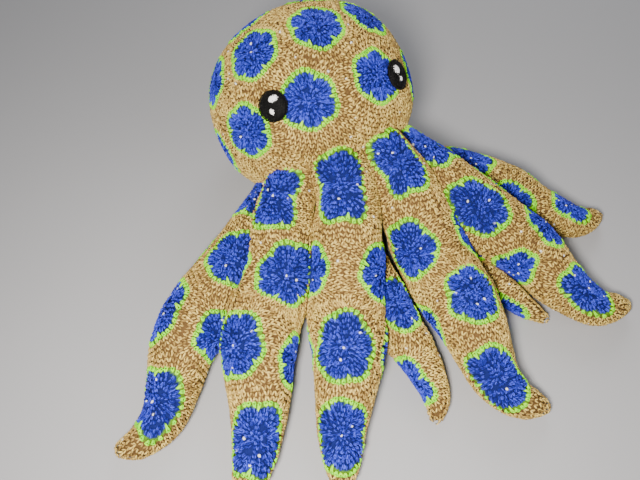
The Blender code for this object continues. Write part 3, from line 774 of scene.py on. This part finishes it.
def sum_of(tree, operation, *values):
    """The result of a sum whose values are numbers or the outputs of other nodes."""
    made = node(tree, "ShaderNodeMath", operation=operation)
    for socket, value in zip(made.inputs, values):
        if isinstance(value, float):
            socket.default_value = value
        else:
            tree.links.new(value, socket)
    return made.outputs[0]


def colour_ramp(tree, stops):
    ramp = node(tree, "ShaderNodeValToRGB")
    elements = ramp.color_ramp.elements
    for element, (position, colour) in zip(elements, (stops[0], stops[-1])):
        element.position, element.color = position, (*colour, 1)
    for position, colour in stops[1:-1]:
        elements.new(position).color = (*colour, 1)
    return ramp


def bump(tree, shader, height, distance, strength=1.0, invert=False):
    made = node(tree, "ShaderNodeBump", invert=invert)
    made.inputs["Strength"].default_value = strength
    made.inputs["Distance"].default_value = distance
    tree.links.new(height, made.inputs["Height"])
    tree.links.new(made.outputs["Normal"], shader.inputs["Normal"])


def yarn_material(name, dark, middle, light, sheen, shine):
    """Plied acrylic yarn: strands that differ in tone, flecks, and the twist of its plies."""
    made, tree, shader = new_material(name, {
        "Roughness": 0.50, "Specular IOR Level": shine, "Sheen Weight": sheen,
        "Sheen Roughness": 0.45, "Sheen Tint": (*middle, 1)})
    link = tree.links.new
    tone = node(tree, "ShaderNodeAttribute", attribute_name="tone")
    place = node(tree, "ShaderNodeTexCoord")
    fleck = noise(tree, place, FLECK_SCALE, 3.0)
    patch = noise(tree, place, PATCH_SCALE, 2.0)
    strands = sum_of(tree, "MULTIPLY", tone.outputs["Fac"], STRAND_TONE)
    flecks = sum_of(tree, "MULTIPLY_ADD", fleck, FLECK_TONE, strands)
    mixed = sum_of(tree, "MULTIPLY_ADD", patch, PATCH_TONE, flecks)
    ramp = colour_ramp(tree, ((0.42, dark), (0.72, middle), (1.0, light)))
    link(mixed, ramp.inputs["Fac"])
    link(ramp.outputs["Color"], shader.inputs["Base Color"])

    around = node(tree, "ShaderNodeUVMap", uv_map="yarn")
    apart = node(tree, "ShaderNodeSeparateXYZ")
    link(around.outputs["UV"], apart.inputs[0])
    plies = sum_of(tree, "MULTIPLY", apart.outputs["Y"], PLIES)
    twist = sum_of(tree, "MULTIPLY_ADD", apart.outputs["X"], TWISTS, plies)
    turns = sum_of(tree, "MULTIPLY", twist, 2 * math.pi)
    wave = sum_of(tree, "SINE", turns)
    fibre = noise(tree, place, FIBRE_SCALE, 2.0)
    height = sum_of(tree, "MULTIPLY_ADD", fibre, 1.6, wave)
    bump(tree, shader, height, 0.00022, strength=0.75)
    return made


TAN = yarn_material("tan_yarn", (0.110, 0.054, 0.010), (0.450, 0.280, 0.070),
                    (0.900, 0.660, 0.180), 0.05, 0.32)
BLUE = yarn_material("blue_yarn", (0.004, 0.005, 0.070), (0.012, 0.018, 0.350),
                     (0.075, 0.105, 0.950), 0.04, 0.22)
LIME = yarn_material("lime_yarn", (0.09, 0.40, 0.0), (0.285, 0.99, 0.0), (0.47, 1.0, 0.0),
                     0.0, 0.04)
WHITE = yarn_material("stuffing", (0.70, 0.69, 0.67), (0.86, 0.85, 0.84), (0.95, 0.95, 0.94),
                      0.30, 0.20)
BLACK = yarn_material("black_yarn", (0.002, 0.002, 0.002), (0.004, 0.004, 0.004),
                      (0.010, 0.010, 0.010), 0.02, 0.15)
FELT = yarn_material("white_felt", (0.95, 0.95, 0.95), (0.98, 0.98, 0.98), (1.0, 1.0, 1.0),
                     0.05, 0.30)


# The coat
ARM_ROWS, HEAD_ROWS = 14, 18        # most rows of tan round a flower
SPOT_STEP, SPOT_TURNS, HEAD_SPOTS = 0.003, 90, 26000        # where bare spots are looked for


def coats_of(name):
    """Coats for the tan stitches, the petals, the lime edges and the stuffing."""
    return (Coat(name + "_tan_stitches", TAN, "tan_yarn"), Coat(name + "_petals", BLUE),
            Coat(name + "_lime_edges", LIME), Coat(name + "_stuffing", WHITE))


coats = []
head_flowers = [HeadFlower(HEAD, latitude, longitude)
                for latitude, longitudes in HEAD_FLOWERS for longitude in longitudes]
for arm in ARM_LIST:
    flowers = [ArmFlower(arm, share, half_length * size, half_width * size, turn, square)
               for (half_length, half_width), square, group in zip(ARM_FLOWER_SIZES, ARM_FLOWER_SQUARE,
                                                                   ARM_FLOWERS[arm.number])
               for share, turn, size in group]
    tan, blue, lime, fluff = coats_of("arm_%d" % arm.number)
    first = len(ROOTS)
    for flower in flowers:
        dress_flower(flower, blue, lime, fluff)
        dress_ground(flower, flowers, tan, fluff, ARM_ROWS)
    runs, turns = np.meshgrid(np.arange(0.006, arm.length * 0.99, SPOT_STEP),
                              np.arange(0, 2 * math.pi, 2 * math.pi / SPOT_TURNS), indexing="ij")
    fill_gaps(flowers, np.column_stack([runs.ravel(), turns.ravel()]), tan, ROOTS[first:])
    coats += [tan, blue, lime, fluff]

head_tan, blue, lime, fluff = coats_of("head")
back_tan = Coat("head_back_tan_stitches", TAN, "tan_yarn")
first = len(ROOTS)
for flower in head_flowers:
    dress_flower(flower, blue, lime, fluff)
    faces_front = flower.middle @ HEAD_FRONT > 0.1
    dress_ground(flower, head_flowers, head_tan if faces_front else back_tan, fluff, HEAD_ROWS)
number = np.arange(HEAD_SPOTS)
level = 1 - 2 * (number + 0.5) / len(number)
spiral = number * math.pi * (3 - math.sqrt(5))
spots = unit(np.column_stack([np.sqrt(1 - level ** 2) * np.cos(spiral),
                              np.sqrt(1 - level ** 2) * np.sin(spiral), level]))
fill_gaps(head_flowers, spots, head_tan, ROOTS[first:])
for coat in coats + [head_tan, back_tan, blue, lime, fluff]:
    if coat.batches:
        coat.build()


# The stuffed skin
def closed_rings(rings, first, last):
    """Vertices and faces of a closed skin over rings of points."""
    count, around = len(rings), len(rings[0])
    verts = np.concatenate([np.concatenate(rings), [first, last]])
    here = np.arange(count * around).reshape(count, around)
    after = np.roll(here, -1, axis=1)
    faces = np.stack([here[:-1], after[:-1], after[1:], here[1:]], axis=-1).reshape(-1, 4).tolist()
    for i, j, k, m in np.stack([here[0], after[0], here[-1], after[-1]], axis=-1).tolist():
        faces += [(i, count * around, j), (k, m, count * around + 1)]
    return verts, faces


def stuffed_skin():
    """Head and arms as one closed surface."""
    shells = [closed_rings(arm.points, arm.line[0] - 0.003 * arm.along(0.0), arm.line[-1])
              for arm in ARM_LIST]
    longitudes = np.arange(96) * 360 / 96
    rings = [HEAD.skin(head_direction(np.full(96, latitude), longitudes))[0]
             for latitude in np.linspace(-89, 89, 60)]
    ends = [HEAD.skin(s * HEAD_AXIS[None])[0][0] for s in (-1.0, 1.0)]
    shells.append(closed_rings(rings, *ends))
    verts, faces, base = [], [], 0
    for spots, corners in shells:
        verts.append(spots - SHIFT)
        faces += [tuple(base + i for i in corner) for corner in corners]
        base += len(spots)
    item = smooth_object("stuffed_skin", np.concatenate(verts), faces)
    grids = item.data
    remesh = item.modifiers.new("one surface", "REMESH")
    remesh.mode, remesh.voxel_size = "VOXEL", SKIN_VOXEL
    smooth = item.modifiers.new("soft", "SMOOTH")
    smooth.factor, smooth.iterations = 0.5, 2
    bpy.context.view_layer.update()
    graph = bpy.context.evaluated_depsgraph_get()
    whole = bpy.data.meshes.new_from_object(item.evaluated_get(graph))
    item.modifiers.clear()
    item.data = whole
    bpy.data.meshes.remove(grids)
    return item


def paint_gap_shade(item):
    """The skin takes a darkened copy of the yarn colour of the stitch nearest to each of its points:
    painted shade in the gaps of the coat.
    """
    places, colours = map(np.concatenate, zip(*ROOTS))
    tree = tree_of(places - SHIFT)
    # darkened tan, blue and lime: painted shade for the gaps between the stitches
    painted_gap_shades = np.array(((0.16, 0.09, 0.032, 1), (0.010, 0.016, 0.130, 1), (0.12, 0.28, 0.010, 1)))
    values = np.array([painted_gap_shades[colours[tree.find(v.co)[1]]] for v in item.data.vertices])
    layer = item.data.attributes.new("gap_shade_colour", "FLOAT_COLOR", "POINT")
    layer.data.foreach_set("color", values.astype(np.float32).ravel())


def skin_material():
    """Painted shade in the gaps of the coat: the skin's darkened yarn colours, darker still towards
    the edges of small cells, which the bump sinks in as pits.
    """
    made, tree, shader = new_material("gap_shade_skin", {"Roughness": 0.95,
                                                       "Specular IOR Level": 0.1})
    link = tree.links.new
    gap_shade_colour = node(tree, "ShaderNodeAttribute", attribute_name="gap_shade_colour")
    place = node(tree, "ShaderNodeTexCoord")
    cells = node(tree, "ShaderNodeTexVoronoi")
    cells.inputs["Scale"].default_value = CELL_SCALE
    link(place.outputs["Object"], cells.inputs["Vector"])
    # painted shade in the pits: the cells darken towards their edges
    shade = node(tree, "ShaderNodeMix", data_type="RGBA", blend_type="MULTIPLY")
    shade.inputs[0].default_value = 0.6
    ramp = colour_ramp(tree, ((0.0, (1, 1, 1)), (1.0, (0.3, 0.3, 0.3))))
    link(cells.outputs["Distance"], ramp.inputs["Fac"])
    link(gap_shade_colour.outputs["Color"], shade.inputs[6])
    link(ramp.outputs["Color"], shade.inputs[7])
    link(shade.outputs[2], shader.inputs["Base Color"])
    bump(tree, shader, cells.outputs["Distance"], 0.0006, invert=True)
    return made


skin = stuffed_skin()
paint_gap_shade(skin)
skin.data.materials.append(skin_material())
smooth_faces(skin.data)
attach(skin, "root")
flesh = [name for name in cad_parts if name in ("head", "neck") or name.startswith("arm_")]
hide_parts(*flesh)


# The eyes
FELT_GAP, FELT_THICK = 0.0004, 0.0013
EYE_ROUNDS, EYE_FIRST, EYE_ROW, EYE_PITCH = 7, 0.0012, 0.0029, 0.0031


def ellipsoid(name, centre, axes, half, material):
    """A smooth oval whose third axis points out of what it sits on."""
    around, up = 40, 20
    turn = np.arange(around) * 2 * math.pi / around
    rings = [np.column_stack([math.sin(a) * np.cos(turn), math.sin(a) * np.sin(turn),
                              np.full(around, math.cos(a))])
             for a in math.pi * np.arange(up - 1, 0, -1) / up]
    spots, faces = closed_rings(rings, (0, 0, -1), (0, 0, 1))
    return smooth_object(name, centre + spots * half @ np.array(axes) - SHIFT, faces, material)


class EyeDome:
    """Where an eye's stitches stand: a plane of x up and y across, raised in a dome."""

    def __init__(self, centre, axes, half):
        self.host, self.centre = self, centre
        self.axes, self.half = np.array(axes), np.array(half)

    def spots(self, x, y):
        return np.column_stack([x, y])

    def skin(self, where):
        x, y = where[:, 0], where[:, 1]
        share = np.clip(1 - (x / self.half[0]) ** 2 - (y / self.half[1]) ** 2, 0.02, 1)
        local = np.column_stack([x, y, self.half[2] * np.sqrt(share)])
        slope = unit(local / self.half ** 2)
        return self.centre + local @ self.axes, unit(slope @ self.axes), np.ones(len(x), bool)

    def unwrap(self, where):
        return 0.5 + where / 0.05


def surface_frame(direction):
    spot = HEAD_MIDDLE + direction / head_level(HEAD_MIDDLE + direction[None])[0]
    out = head_out(spot[None])[0]
    upward = unit(HEAD_AXIS - (HEAD_AXIS @ out) * out)
    return spot, (upward, np.cross(out, upward), out)


def felt_leaf(name, dome, up, across, tall, broad):
    """A leaf of felt that lies on the eye's dome."""
    around, rings = 36, 6
    turn = np.arange(around) * 2 * math.pi / around
    leaf = rounded(turn, 1.65)
    levels = [(1.0, -0.0006)]
    for share in np.arange(rings, 0, -1) / rings:
        levels.append((share, FELT_GAP + FELT_THICK * math.sqrt(1 - share ** 4)))
    points = []
    for share, height in levels:
        row = np.column_stack([up + tall * leaf * share * np.cos(turn),
                               across + broad * leaf * share * np.sin(turn)])
        place, normal, _ = dome.skin(row)
        points.append(place + normal * height)
    middle, normal, _ = dome.skin(np.array([(up, across)]))
    spots, faces = closed_rings(points, middle[0] - normal[0] * 0.001,
                                middle[0] + normal[0] * (FELT_GAP + FELT_THICK))
    return smooth_object(name, spots - SHIFT, faces, FELT)


EYE_LEG = ([(0.3, -2.1, -0.1), (0.5, -1.2, 0.7), (0.95, 0.0, 1.0), (1.25, 1.0, 0.7),
            (1.5, 2.0, -0.1)], [0.6, 0.8, 0.6], [0.6, 0.75, 0.6])
EYE_STITCH = Template([EYE_LEG, mirrored(EYE_LEG)])
for side, place in EYES.items():
    spot, axes = surface_frame(head_direction(*place))
    centre = spot + axes[2] * EYE_PROUD
    core = ellipsoid("eye_%s_core" % side, centre, axes, [h - 0.0006 for h in EYE_SIZE], BLACK)
    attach(core, "root")
    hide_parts("eye_" + side)
    dome = EyeDome(centre, axes, [h - 0.0004 for h in EYE_SIZE])
    coat = Coat("eye_%s_stitches" % side, BLACK, "black_yarn")
    for number in range(EYE_ROUNDS):
        radius = EYE_FIRST + number * EYE_ROW
        count = max(5, int(round(2 * math.pi * radius / EYE_PITCH)))
        angle = (np.arange(count) + rng.random()) * 2 * math.pi / count
        spots = radius * np.array([np.cos(angle), np.sin(angle)])
        set_stitches(coat, EYE_STITCH, dome, spots, spots * 1.08, 0, wander=0.0001)
        ROOTS.pop()
    coat.build()
    for name, (up, sideways, tall, broad) in GLINTS[side].items():
        glint = felt_leaf("eye_%s_felt_%s" % (side, name), dome, up, sideways, tall, broad)
        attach(glint, "root")
        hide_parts("eye_%s_glint_%s" % (side, name))


# Floor, light and camera
FLOOR = new_material("pale_floor", {"Base Color": (0.36, 0.36, 0.375, 1), "Roughness": 0.9})[0]
floor = smooth_object("floor", [(-4, -4, 0), (4, -4, 0), (4, 4, 0), (-4, 4, 0)], [(0, 1, 2, 3)],
                      FLOOR)


def area_light(name, spot, target, size, power, colour):
    lamp = bpy.data.lights.new(name, "AREA")
    lamp.shape, lamp.size, lamp.energy, lamp.color = "DISK", size, power, colour
    item = linked(name, lamp)
    item.location = spot
    item.rotation_euler = (Vector(target) - Vector(spot)).to_track_quat("-Z", "Y").to_euler()


area_light("key", (-0.20, -0.57, 0.75), (0, -0.02, 0.05), 0.18, 20.0, (1.0, 0.95, 0.88))
area_light("fill", (1.5, -0.9, 1.3), (0, 0, 0.05), 1.4, 7.0, (0.95, 0.97, 1.0))
area_light("back", (0.4, 1.9, 1.4), (0, 0, 0.05), 1.2, 22.0, (1.0, 1.0, 1.0))
world = bpy.data.worlds.new("studio")
bpy.context.scene.world = world
world.use_nodes = True
sky = world.node_tree.nodes["Background"].inputs
sky["Color"].default_value, sky["Strength"].default_value = (0.93, 0.95, 1.0, 1), 0.22

lens = bpy.data.cameras.new("camera")
lens.sensor_width, lens.lens = 36.0, 33.75
camera = linked("camera", lens)
camera.location = (-PLAN_MIDDLE[0], -0.5242 - PLAN_MIDDLE[1], 0.7487)
camera.rotation_euler = (math.radians(35), 0, 0)
bpy.context.scene.camera = camera
